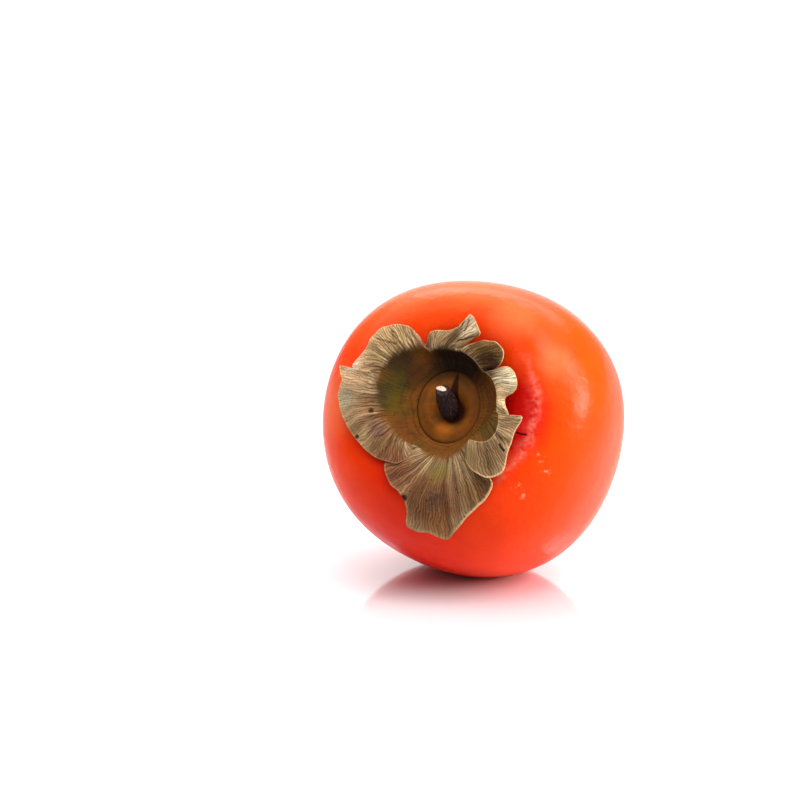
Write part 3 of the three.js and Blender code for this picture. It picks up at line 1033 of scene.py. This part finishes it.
turn = across_y.turn_from(across_x)
streaks = skin.noise(skin.join(turn * STREAKS_ROUND, reach * 0.5, 0.0), 1.0, 3.0, 0.6)
cloudlets = skin.noise(place, 0.5, 4.0, 0.6)
bloom_reach = reach + (skin.noise(place, 0.12, 2.0) - 0.5) * 4.0 + across_y * 0.06
ring = bloom_reach.band(BLOOM_REACH, 1.7) * 0.9 + bloom_reach.band(FAINT_BLOOM_REACH, 4.0) * 0.25
bloom_side = skin.near(place, BLOOM_SIDE, 9.0, 26.0)
bloom = ring * stem_side * (streaks * 0.5 + cloudlets * 0.7).rise(0.42, 0.8) * bloom_side
colour = skin.mix(bloom * 0.58, colour, wax)
colour = skin.patches(place, colour, PAINTED_HIGHLIGHT_PATCHES)

scar_line = skin.noise(place, 0.9, 3.0, 0.7).rise(0.5, 0.62)
scars = 0.0
for scar in SCARS:
    scars = skin.near(place, scar, 0.3, 1.9) + scars
colour = skin.mix((scars * scar_line).smallest(1.0) * 0.7, colour, scar_tissue)
crack = skin.mark(place, SKIN_CRACK, SKIN_CRACK_HEADING, 2.1, 0.4, mottle - 0.5) * stem_side
colour = skin.mix(crack, colour, crack_red)

skin.set("Base Color", colour)
skin.set("Roughness", 0.27 + bloom * 0.25)
skin.set("Subsurface Weight", 0.12)
skin.set("Subsurface Radius", (1.0, 0.2, 0.05))
skin.set("Subsurface Scale", 3 * MM)
skin.set("Specular IOR Level", 0.085)
skin.relief(skin.noise(place, 0.35, 3.0) + skin.noise(place, 3.0, 2.0) * 0.05, 0.35 * MM, 0.6)
dress(fruit, skin)

# %% [markdown]
# ## The dry calyx
#
# The sepals dried to a papery grey brown, paler towards some tips and browner in the folds. Soft
# patches of tint lie on that ground; their columns are the same as for the skin. Dark lines follow
# the UV map, which runs round the calyx and outward, and there are more of them near the edge.
#
# A mark is a thin line, such as a tear or a crease. Its columns: middle, heading in degrees, half
# its length, half its width, a shift sideways, tint and strength. A dot has a middle and a size.

# %% Finish of the calyx: patches, dots and marks
SEPAL_TINTS_AND_SHADE = (
    ((-15.0, 16.5, 28.6), 3.0, 9.0, (214, 178, 122), 0.7),
    ((-24.3, 10.7, 28.3), 2.0, 7.0, (252, 204, 158), 0.8),
    ((-18.9, -0.9, 27.5), 1.0, 6.0, (158, 108, 68), 0.7),
    ((-15.3, -10.5, 27.1), 2.0, 8.0, (118, 74, 36), 0.75),
    ((-24.2, -6.0, 27.9), 1.0, 4.5, (160, 128, 84), 0.6),
    ((-12.4, -17.4, 27.5), 2.0, 9.0, (136, 76, 46), 0.85),
    ((-2.5, -26.2, 28.2), 4.0, 12.0, (134, 80, 44), 0.85),
    ((10.3, -24.5, 28.4), 1.0, 8.0, (128, 86, 40), 0.85),
    ((-1.1, -32.8, 24.5), 1.0, 6.0, (158, 100, 52), 0.8),
    ((8.1, -15.2, 28.1), 1.0, 4.0, (150, 128, 62), 0.7),
    ((13.8, -15.9, 29.3), 2.0, 7.0, (138, 106, 70), 0.85),
    ((18.5, 4.1, 28.7), 1.0, 6.0, (244, 228, 188), 0.9),
    ((15.8, 0.1, 27.8), 1.5, 5.0, (255, 226, 170), 0.95),
    ((16.0, -4.4, 27.7), 0.5, 3.5, (206, 184, 126), 0.8),
    ((13.8, 13.2, 29.1), 3.0, 8.0, (106, 78, 30), 0.95),
    # Painted shade: a near-black patch in the gap between the right and the upper sepal.
    ((13.6, 8.9, 28.4), 1.5, 5.0, (44, 20, 8), 0.9),
    ((13.4, 6.4, 27.3), 0.8, 2.6, (96, 62, 30), 0.9),
    ((7.7, 19.3, 28.6), 2.0, 4.5, (255, 228, 186), 0.9),
    ((4.8, 17.9, 27.9), 0.5, 2.4, (110, 84, 40), 0.8),
    ((0.5, 18.2, 27.5), 2.0, 6.0, (160, 128, 84), 0.6),
    ((-4.8, 15.3, 27.0), 1.0, 3.2, (112, 52, 42), 0.7),
    ((-27.0, 2.5, 27.5), 1.0, 5.0, (196, 190, 158), 0.6),
    ((-24.5, 12.0, 28.6), 0.5, 3.6, (255, 240, 206), 0.85),
    ((-1.7, -26.2, 28.3), 0.8, 3.4, (108, 74, 62), 0.6),
    ((-17.2, -6.4, 27.4), 1.0, 4.0, (128, 88, 84), 0.5),
    ((-10.0, -33.2, 23.1), 0.5, 2.4, (120, 66, 44), 0.6),
)
BOWL_TINTS = (
    ((-16.5, 3.0, 27.0), 2.0, 7.0, (66, 52, 20), 0.9),
    ((-12.0, 12.0, 27.0), 2.0, 7.0, (64, 44, 20), 0.9),
    ((-12.6, 6.6, 25.5), 1.0, 5.6, (72, 70, 14), 0.55),
    ((-7.5, 8.0, 24.6), 1.0, 4.5, (96, 46, 14), 0.7),
    ((-12.8, 1.0, 25.0), 1.0, 5.4, (112, 88, 10), 0.6),
    ((-10.0, -6.0, 24.5), 2.0, 6.0, (122, 66, 20), 0.7),
    ((0.0, -13.0, 24.5), 2.0, 8.0, (132, 78, 20), 0.7),
    ((9.5, -9.5, 25.0), 1.0, 6.0, (118, 74, 22), 0.7),
    ((13.0, 1.0, 26.0), 2.0, 8.0, (112, 62, 22), 0.85),
    ((13.6, -8.4, 28.2), 2.0, 5.0, (84, 64, 20), 0.8),
)
DOTS = (
    ((-22.7, -8.0, 28.1), 0.65),
    ((-17.7, 11.8, 28.2), 0.4),
    ((4.2, -25.4, 28.4), 0.6),
    ((1.1, -32.0, 25.3), 0.4),
    ((7.1, -20.9, 28.3), 0.5),
    ((-6.4, -29.0, 26.9), 0.4),
    ((6.0, -30.4, 25.9), 0.4),
    ((10.8, -19.2, 28.6), 0.4),
    ((-9.9, -24.6, 27.3), 0.8),
    ((-19.1, -1.2, 27.6), 0.8),
    ((-12.3, 16.2, 28.6), 0.6),
    ((-13.4, -12.0, 27.2), 0.8),
    ((-9.5, -25.1, 27.8), 0.9),
    ((6.6, -20.8, 28.4), 0.7),
    ((-2.6, -24.2, 28.3), 0.6),
    ((-0.6, -28.6, 27.6), 0.5),
)
MARKS = (
    ((17.1, -14.1), 119, 1.6, 0.45, 0.0, (30, 14, 8), 1.0),
    # A crease painted with light: a painted highlight on its edge, and a dark line of painted shade
    # beside it.
    ((6.7, 15.5), 16, 3.4, 0.5, 0.6, (214, 184, 132), 0.6),
    ((6.7, 15.5), 16, 3.4, 0.4, -0.1, (40, 22, 14), 0.85),
    ((7.4, 19.2), 70, 2.6, 0.4, 0.0, (70, 52, 34), 0.7),
    ((7.4, 19.2), 70, 2.2, 0.3, -1.1, (70, 52, 34), 0.7),
    ((-14.7, 16.9), -19, 4.2, 0.35, 0.0, (116, 46, 28), 0.75),
    ((-16.6, -8.2), 20, 1.8, 0.35, 0.0, (66, 36, 30), 0.7),
)
print(len(SEPAL_TINTS_AND_SHADE) + len(BOWL_TINTS), "patches,", len(DOTS), "dots and", len(MARKS), "marks")

# %% Finish of the calyx: the lines along it
FIBRES_ROUND = 300.0
FINE_FIBRES_ROUND = 620.0
LINES_NEAR_FOLD = 150.0
LINES_NEAR_EDGE = 290.0

paper = Finish("dry_calyx")
place = paper.upright()
across_x, across_y = paper.part(place, "X"), paper.part(place, "Y")
follow = paper.node("ShaderNodeUVMap", {"uv_map": "UVMap"}, {})
round_share, out_share = paper.part(follow, "X"), paper.part(follow, "Y")
rib = paper.node("ShaderNodeAttribute", {"attribute_name": "rib"}, {}, "Fac")

wavy_share = round_share + (paper.noise(place, 0.25, 2.0) - 0.5) * 0.012
along_fibres = paper.join(wavy_share * FIBRES_ROUND, out_share * 2.5, 0.0)
along_fine_fibres = paper.join(wavy_share * FINE_FIBRES_ROUND, out_share * 6.0, 3.0)
fibre = paper.noise(along_fibres, 1.0, 2.0, 0.5)
fine_fibre = paper.noise(along_fine_fibres, 1.0, 2.0, 0.6)
patch = paper.noise(place, 0.2, 4.0, 0.6)
crumple = paper.noise(place, 0.9, 4.0, 0.65)

toward_edge = out_share.rise(0.58, 0.8)
lines = 0.0
for count, where in ((LINES_NEAR_FOLD, 1.0 - toward_edge), (LINES_NEAR_EDGE, toward_edge)):
    wave = ((wavy_share * count + fibre * 0.9) * math.tau).sine()
    lines = wave.rise(0.0, 0.9) * where + lines
print(len(paper.tree.nodes), "nodes for the lines")

# %% [markdown]
# The sepals come first: ground, patches, lines with painted shade in the grooves and a painted
# highlight on the crests, the pale margin with a painted highlight on its right and upper sides, then
# stains, dots and marks. The left sepal is smoother than the others on its outer half.

# %% Finish of the calyx: the sepals
STAIN = (-1.9, -25.4, 28.1)
RUST = (3.1, -29.5, 27.3)
MOSS = (-0.4, -18.3, 27.3)
PALE_LOBE = (15.8, 0.1, 27.8)

pale_paper = srgb(236, 200, 148)
brown_paper = srgb(136, 102, 70)
dark_paper = srgb(52, 28, 14)
grey_veil = srgb(176, 164, 152)
nearly_black = srgb(30, 14, 8)

paleness = (patch * 0.8 + crumple * 0.35 + rib * 0.22 - 0.05).held()
sepal = paper.mix(paleness, brown_paper, pale_paper)
sepal = paper.patches(place, sepal, SEPAL_TINTS_AND_SHADE)
speckle = paper.noise(place, 1.3, 3.0, 0.7)
sepal = paper.mix(speckle.rise(0.52, 0.68) * 0.4, sepal, srgb(176, 100, 48))
sepal = paper.mix(speckle.rise(0.46, 0.3) * 0.5, sepal, srgb(76, 56, 52))
sepal = paper.mix(0.7, sepal, paper.mix(paleness, grey_veil, WHITE), "MULTIPLY")

smooth_side = across_x.rise(-13.0, -22.0) * out_share.rise(0.6, 0.8)
# The grooves get the sepal's dark lines and painted shade in the rib valleys; the crests get a painted
# highlight.
lines_and_groove_shade = (rib.rise(-0.1, -0.7) * 0.35 + fibre.rise(0.5, 0.36) * 0.35 + lines * 0.7).smallest(1.0)
groove_strength = 0.75 - out_share.rise(0.8, 0.98) * 0.3
groove_strength = groove_strength + fine_fibre.rise(0.5, 0.3) * 0.2 - smooth_side * 0.5
sepal = paper.mix(lines_and_groove_shade * groove_strength * 0.9, sepal, dark_paper)
lit_crests = (rib.rise(0.25, 0.9) * 0.4 + fibre.rise(0.5, 0.66) * 0.6).smallest(1.0)
lit_crests = lit_crests * (1.0 - lines) * (1.0 - smooth_side * 0.5)
sepal = paper.mix(lit_crests * 0.65, sepal, sepal, "SCREEN")

# Pale margin all round, with a painted highlight added on the right and upper sepals.
margin_highlight_side = (across_x.rise(0.0, 8.0) + across_y.rise(4.0, 12.0)).smallest(1.0)
margin_share = out_share.rise(0.976, 0.993) * (margin_highlight_side * 0.6 + 0.2)
sepal = paper.mix(margin_share, sepal, srgb(236, 190, 142))

stained = paper.near(place, STAIN, 1.2, 4.2) * (crumple * 0.9 + 0.1).rise(0.48, 0.62)
sepal = paper.mix(stained * 0.6, sepal, srgb(60, 42, 38))
sepal = paper.mix(paper.near(place, RUST, 0.6, 2.2) * 0.5, sepal, srgb(150, 74, 40))
mossy = paper.near(place, MOSS, 1.5, 4.6) * fibre.rise(0.3, 0.55)
sepal = paper.mix(mossy * 0.7, sepal, srgb(116, 100, 28))
for middle, size in DOTS:
    dot = paper.near(place, middle, size * 0.5, size * 1.3)
    sepal = paper.mix(dot * 0.9, sepal, nearly_black)
sepal = paper.mix(paper.near(place, PALE_LOBE, 1.5, 4.5) * 0.45, sepal, srgb(222, 180, 130))
cells = paper.node("ShaderNodeTexVoronoi", {}, {"Vector": place, "Scale": 0.45}, "Distance")
sepal = paper.mix(cells.rise(0.13, 0.06) * 0.7, sepal, nearly_black)
for middle, heading, half_long, half_wide, shift, tint, strength in MARKS:
    waver = (crumple - 0.5) * 1.2 + shift
    mark = paper.mark(place, middle, heading, half_long, half_wide, waver)
    sepal = paper.mix(mark * strength, sepal, srgb(*tint))
print(len(paper.tree.nodes), "nodes with the sepals")

# %% [markdown]
# The bowl inside is amber and olive, faintly ringed near the disc, and painted shade makes it almost
# black at its upper side. The line between bowl and sepals is soft on the left and sharp on the
# right, where a painted highlight runs along the fold and the line dips outward in a small pocket.

# %% Finish of the calyx: the bowl and the whole
BOWL_SHADE = (5.0, 12.5, 25.5)
POCKET = (13.8, -8.8, 28.2)
FOLD_SHARE = 0.497

amber = srgb(126, 72, 14)
olive = srgb(92, 66, 16)
near_amber = srgb(140, 80, 12)
ring_brown = srgb(66, 32, 8)
blotch_brown = srgb(52, 36, 12)
shade = srgb(24, 10, 5)
highlight_cream = srgb(220, 192, 146)

bowl = paper.mix(paper.noise(place, 0.2, 3.0).rise(0.4, 0.62), amber, olive)
bowl = paper.patches(place, bowl, BOWL_TINTS)
near_disc = out_share.rise(0.2, 0.06) * across_y.rise(6.0, -4.0)
bowl = paper.mix(near_disc * 0.6, bowl, near_amber)
shallow_rings = (out_share * 60.0 + patch * 9.0).sine().rise(0.3, 1.0) * out_share.rise(0.3, 0.1)
bowl = paper.mix(shallow_rings * 0.35, bowl, ring_brown)
bowl = paper.mix(paper.noise(place, 0.45, 4.0, 0.7).rise(0.52, 0.66) * 0.4, bowl, blotch_brown)
# Painted shade: the upper side of the bowl is darkened almost to black.
bowl_painted_shade = paper.near(place, BOWL_SHADE, 5.0, 13.0)
bowl = paper.mix((bowl_painted_shade * 0.95 + (fibre - 0.5) * 0.5).held(), bowl, shade)

soft = across_x.rise(12.0, 2.0)
deeper = paper.near(place, POCKET, 1.0, 8.5) * across_y.rise(-17.0, -11.0) * 0.24
from_disc = out_share - deeper
inside_place = from_disc + (patch - 0.5) * 0.2 * soft + (crumple - 0.5) * 0.1 * soft
inside = inside_place.rise(0.5 + soft * 0.09, 0.485 - soft * 0.06)
colour = paper.mix(inside, sepal, bowl)
# Painted highlight: a pale line along the fold on the right.
fold_highlight = from_disc.band(FOLD_SHARE, 0.014) * across_x.rise(4.0, 10.0)
colour = paper.mix(fold_highlight * 0.6, colour, highlight_cream)

paper.set("Base Color", colour)
paper.set("Roughness", 0.68 + fibre * 0.2 - inside * 0.2)
paper.set("Specular IOR Level", 0.12)
paper.relief(fibre * 0.3 + fine_fibre * 0.4 + crumple * 0.6 - lines * 0.5, 0.45 * MM, 0.8)
dress(calyx, paper)

# %% [markdown]
# ## Disc, stalk and flower point
#
# The disc is amber brown and slightly glossy, ringed darker and lighter, with a painted highlight
# low on it, painted shade on its upper part and in a faint ring at its edge, and painted shade in
# the pit and the crack. The stalk is purplish black, darkened at its foot as painted shade, with a
# split face that is pale wood with a painted highlight. The flower point is plain dry black brown
# with streaks along it.

# %% Finish of the disc
LOW_HIGHLIGHT = (-0.5, -6.2, 23.0)
RIGHT_GLOW = (7.0, 0.0, 23.0)
PIT_FLOOR = (PIT_MIDDLE[0] + 0.3, PIT_MIDDLE[1], 22.0)
OVAL = 0.88
SHADED_EDGE_RING = 8.6
CRACK_LENGTH = math.hypot(crack_side, crack_away)
CRACK_HALF = 2.1
CRACK_NARROWING = 0.24

wood = Finish("amber_disc")
place = wood.upright()
across_x, across_y = wood.part(place, "X"), wood.part(place, "Y")
off_x, off_y = across_x - DISC_MIDDLE[0], (across_y - DISC_MIDDLE[1]) * OVAL
from_middle = (off_x * off_x + off_y * off_y) ** 0.5
patch = wood.noise(place, 0.3, 3.0, 0.6)
grain = wood.noise(place, 1.6, 3.0, 0.6)
ringed = (from_middle * 2.6 + patch * 3.0).sine()

colour = wood.mix(patch.rise(0.38, 0.62), srgb(144, 74, 4), srgb(112, 66, 6))
colour = wood.mix(ringed.rise(0.2, 1.0) * 0.2, colour, srgb(84, 46, 10))
colour = wood.mix(from_middle.rise(5.5, 9.0) * 0.7, colour, srgb(100, 56, 8))
# Painted highlight low on the disc.
colour = wood.mix(wood.near(place, LOW_HIGHLIGHT, 0.6, 3.6) * 0.6, colour, srgb(178, 98, 4))
colour = wood.mix(wood.near(place, RIGHT_GLOW, 1.0, 6.0) * 0.6, colour, srgb(112, 58, 6))
# Painted shade on the upper part of the disc, below the bowl wall.
colour = wood.mix(across_y.rise(4.5, 10.5) * 0.88, colour, srgb(50, 27, 5))
# Painted shade: a faint dark ring where the disc meets the bowl.
colour = wood.mix(from_middle.band(SHADED_EDGE_RING, 0.4) * 0.2, colour, srgb(60, 28, 8))

# Painted shade in the pit round the stalk and in the crack.
pit_shade = wood.near(place, PIT_FLOOR, 2.6, 4.0)
crack_right, crack_far = across_x - CRACK_START[0], across_y - CRACK_START[1]
down_crack = (crack_right * crack_side + crack_far * crack_away) / CRACK_LENGTH
off_line = (crack_right * crack_away - crack_far * crack_side) / CRACK_LENGTH + (grain - 0.5) * 0.5
crack_half = down_crack * -CRACK_NARROWING + CRACK_HALF
crack_shade = (off_line / crack_half).band(0.0, 1.0).rise(0.0, 0.5)
crack_shade = crack_shade * down_crack.rise(7.6, 6.4) * down_crack.rise(-1.0, 0.0)
colour = wood.mix((pit_shade * 0.95 + crack_shade * 0.9).smallest(1.0), colour, srgb(44, 8, 3))

wood.set("Base Color", colour)
wood.set("Roughness", 0.5 + patch * 0.2)
wood.set("Specular IOR Level", 0.15)
wood.relief(patch + grain * 0.3, 0.4 * MM, 0.6)
dress(disc, wood)

# %% Finish of the stalk
SPLIT_MIDDLE = STALK_TIP + np.array([-0.6, 0.6, 0.3])
SPLIT_TURN = (0.9, 0.43)

bark = Finish("dark_stalk")
place = bark.upright()
across_x, across_y, up = bark.part(place, "X"), bark.part(place, "Y"), bark.part(place, "Z")
streak = bark.noise(bark.stretched(place, (2.4, 1.0, 0.35)), 1.2, 3.0)
colour = bark.mix(streak.rise(0.35, 0.75), srgb(22, 11, 10), srgb(72, 46, 44))
# Painted shade: the foot of the stalk is darkened where it sinks into the pit.
colour = bark.mix(up.rise(24.6, 23.2) * 0.8, colour, srgb(20, 8, 6))

# The split face is pale wood with a painted highlight.
split_x, split_y = across_x - float(SPLIT_MIDDLE[0]), across_y - float(SPLIT_MIDDLE[1])
split_long = split_x * SPLIT_TURN[0] - split_y * SPLIT_TURN[1]
split_wide = split_x * SPLIT_TURN[1] + split_y * SPLIT_TURN[0]
split = (split_long * split_long * 0.5 + split_wide * split_wide * 1.9).rise(1.3, 0.8)
split = split * up.rise(26.0, 27.0) * streak.rise(0.25, 0.4)
colour = bark.mix(split, colour, srgb(232, 206, 186))

bark.set("Base Color", colour)
bark.set("Roughness", 0.6)
bark.set("Specular IOR Level", 0.15)
bark.relief(streak, 0.4 * MM, 0.8)
dress(stalk, bark)

# %% Finish of the flower point
tip = Finish("dry_point")
place = tip.upright()
streak = tip.noise(tip.stretched(place, (2.0, 2.0, 0.5)), 2.0, 3.0)
tip.set("Base Color", tip.mix(streak.rise(0.35, 0.7), srgb(30, 18, 12), srgb(96, 70, 48)))
tip.set("Roughness", 0.8)
tip.relief(streak, 0.3 * MM, 0.8)
dress(point, tip)

# %% [markdown]
# ## The board
#
# The board is white and glossy, so it mirrors the fruit softly at this low angle. Round the fruit's
# foot a pink patch is painted into its colour, as painted reflection and red-tinted painted shadow.
# In front of the fruit the mirror image fades into plain white, and so does the board all round, a
# little way out: there its finish is mixed with a white glow. The wall shines with an even white of
# its own, so that the far end of the board, which mirrors it, stays white too. The board is not
# turned or scaled like the fruit, so its places are in metres.

# %% Finish of the floor
PAINTED_PINK_SPOT = (-0.004, -0.01, 0.0)
FADE_FRONT = (-0.01, -0.066)
FADE_ROUND = (0.12, 0.3)
GLOW_STRENGTH = 1.05

board_white = (0.76, 0.76, 0.76, 1.0)
reflection_pink = (0.78, 0.5, 0.58, 1.0)

board = Finish("white_board")
place = board.node("ShaderNodeTexCoord", {}, {}, "Object")
# Painted reflection and shadow: a pink patch round the fruit's foot.
painted_pinkness = board.near(place, PAINTED_PINK_SPOT, 0.01, 0.056) * 0.7
board.set("Base Color", board.mix(painted_pinkness, board_white, reflection_pink))
board.set("Roughness", 0.09)
board.set("IOR", 2.2)
board.set("Specular IOR Level", 0.9)
glow = board.node("ShaderNodeEmission", {}, {"Color": WHITE, "Strength": GLOW_STRENGTH})
in_front = board.part(place, "Y").rise(*FADE_FRONT)
far_away = 1.0 - board.near(place, (0.0, 0.0, 0.0), *FADE_ROUND)
gloss = Wire(board, board.shader.outputs["BSDF"])
faded = board.node("ShaderNodeMixShader", {}, {0: in_front.largest(far_away), 1: gloss, 2: glow})
board.tree.links.new(faded.socket, board.tree.nodes["Material Output"].inputs["Surface"])
dress(floor, board)

# %% Finish of the wall
WALL_BRIGHTNESS = 1.6

shining = Finish("white_wall")
shining.set("Base Color", (0.0, 0.0, 0.0, 1.0))
shining.set("Specular IOR Level", 0.0)
shining.set("Emission Color", WHITE)
shining.set("Emission Strength", WALL_BRIGHTNESS)
dress(backdrop, shining)

# %% [markdown]
# ## Measure
#
# The last cell measures the box of what was made and the box of the imported model, and prints
# their sizes.

# %% Measure and finish
made_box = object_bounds()
boxes = {"cad": [list(corner) for corner in cad_box], "visual": [list(corner) for corner in made_box]}
for name, (low, high) in boxes.items():
    print(name, "size in mm", [round((high[i] - low[i]) / MM, 1) for i in range(3)])
